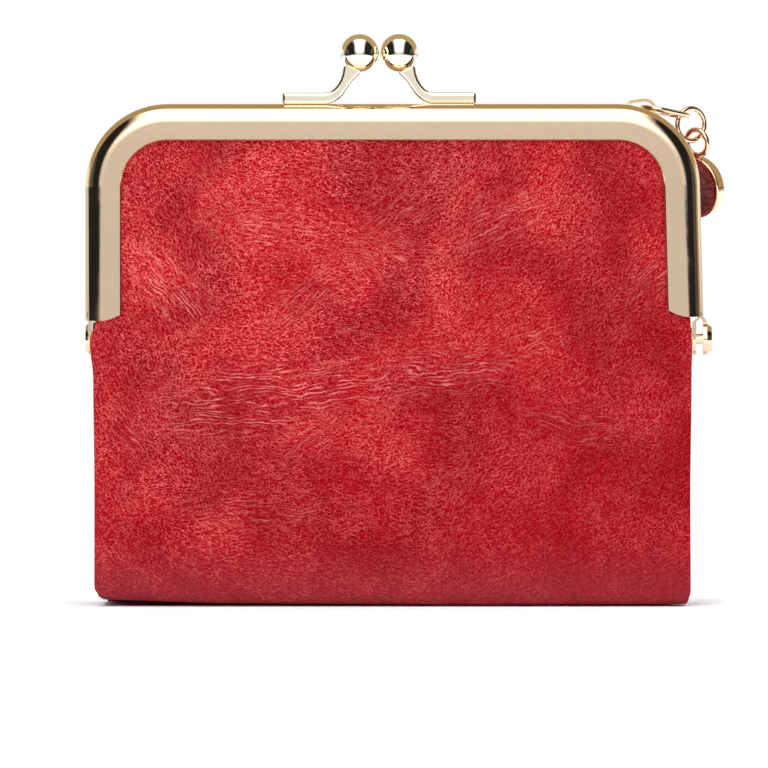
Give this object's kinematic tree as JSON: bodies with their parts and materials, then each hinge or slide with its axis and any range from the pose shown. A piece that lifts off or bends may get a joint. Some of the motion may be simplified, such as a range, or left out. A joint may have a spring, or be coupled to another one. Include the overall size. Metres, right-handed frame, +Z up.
{
  "type": "coin purse",
  "caption": "Upright leather coin purse: a hinged metal kiss-lock frame with a two-ball clasp in front, a zipped pocket behind, and a round pendant on the zip pull.",
  "frame": {"origin": "on the underside of the base, on the purse's middle line, below the kiss-lock frame's parting plane plus 4 mm", "axes": "+X to the right of someone facing the front, +Y to the back, +Z up to the clasp"},
  "size_m": [0.1242, 0.0282, 0.1108],
  "materials": {
    "leather": "oil-waxed red leather, fine pebbled grain with paler creases, satin",
    "gold_metal": "polished pale gold plate",
    "zip_metal": "polished pale gold plate",
    "zip_tape": "woven polyester tape",
    "lining_cloth": "plain woven polyester lining",
    "packing_cord": "twisted paper cord",
    "inlay": "dark red leather disc under clear gloss resin"
  },
  "bodies": {
    "purse_body": {"rear_frame": "gold_metal", "rear_frame_cord": "packing_cord", "rear_clasp": "gold_metal", "left_hinge_rivet": "gold_metal", "right_hinge_rivet": "gold_metal", "left_hinge_washer": "gold_metal", "right_hinge_washer": "gold_metal", "front_panel_fold": "leather", "front_panel_lower": "leather", "base_panel": "leather", "centre_panel": "leather", "left_gusset_upper": "leather", "right_gusset_upper": "leather", "left_gusset_lower": "leather", "right_gusset_lower": "leather", "coin_lining_front": "lining_cloth", "coin_lining_back": "lining_cloth", "pocket_front_panel": "leather", "back_panel": "leather", "left_pocket_gusset": "leather", "right_pocket_gusset": "leather", "pocket_lining": "lining_cloth", "zip_tape_front": "zip_tape", "zip_tape_rear": "zip_tape", "zip_teeth_front": "zip_metal", "zip_teeth_rear": "zip_metal", "zip_bottom_stop": "zip_metal", "zip_top_stops": "zip_metal"},
    "front_half": {"front_frame": "gold_metal", "front_frame_cord": "packing_cord", "front_clasp": "gold_metal", "front_panel_upper": "leather"},
    "slider": {"zip_slider": "zip_metal", "slider_bridge": "zip_metal"},
    "link": {"pull_link": "gold_metal"},
    "ring": {"pull_ring": "gold_metal"},
    "pendant": {"pendant_cup": "gold_metal", "pendant_bail": "gold_metal", "pendant_inlay": "inlay"}
  },
  "joints": [
    {"name": "frame_hinge", "type": "hinge", "parent": "purse_body", "child": "front_half", "pos_m": [0, -0.004, 0.0517], "axis": [1, 0, 0], "range_deg": [0, 60], "deforming": ["front_panel_fold", "left_gusset_upper", "right_gusset_upper", "coin_lining_front"]},
    {"name": "zip_slide", "type": "slide", "parent": "purse_body", "child": "slider", "axis": [1, 0, 0], "range_m": [-0.09, 0], "deforming": ["zip_teeth_front", "zip_teeth_rear"]},
    {"name": "link_swing", "type": "hinge", "parent": "slider", "child": "link", "pos_m": [0.0492, 0.0049, 0.0964], "axis": [-0.5446, 0.8387, 0], "range_deg": [-95, 0]},
    {"name": "ring_swing", "type": "hinge", "parent": "link", "child": "ring", "pos_m": [0.05612, 0.00939, 0.0948], "axis": [-0.5446, 0.8387, 0], "range_deg": [-55, 0]},
    {"name": "pendant_swing", "type": "hinge", "parent": "ring", "child": "pendant", "pos_m": [0.06037, 0.01205, 0.09098], "axis": [0.848, 0.5299, 0], "range_deg": [0, 36]}
  ]
}
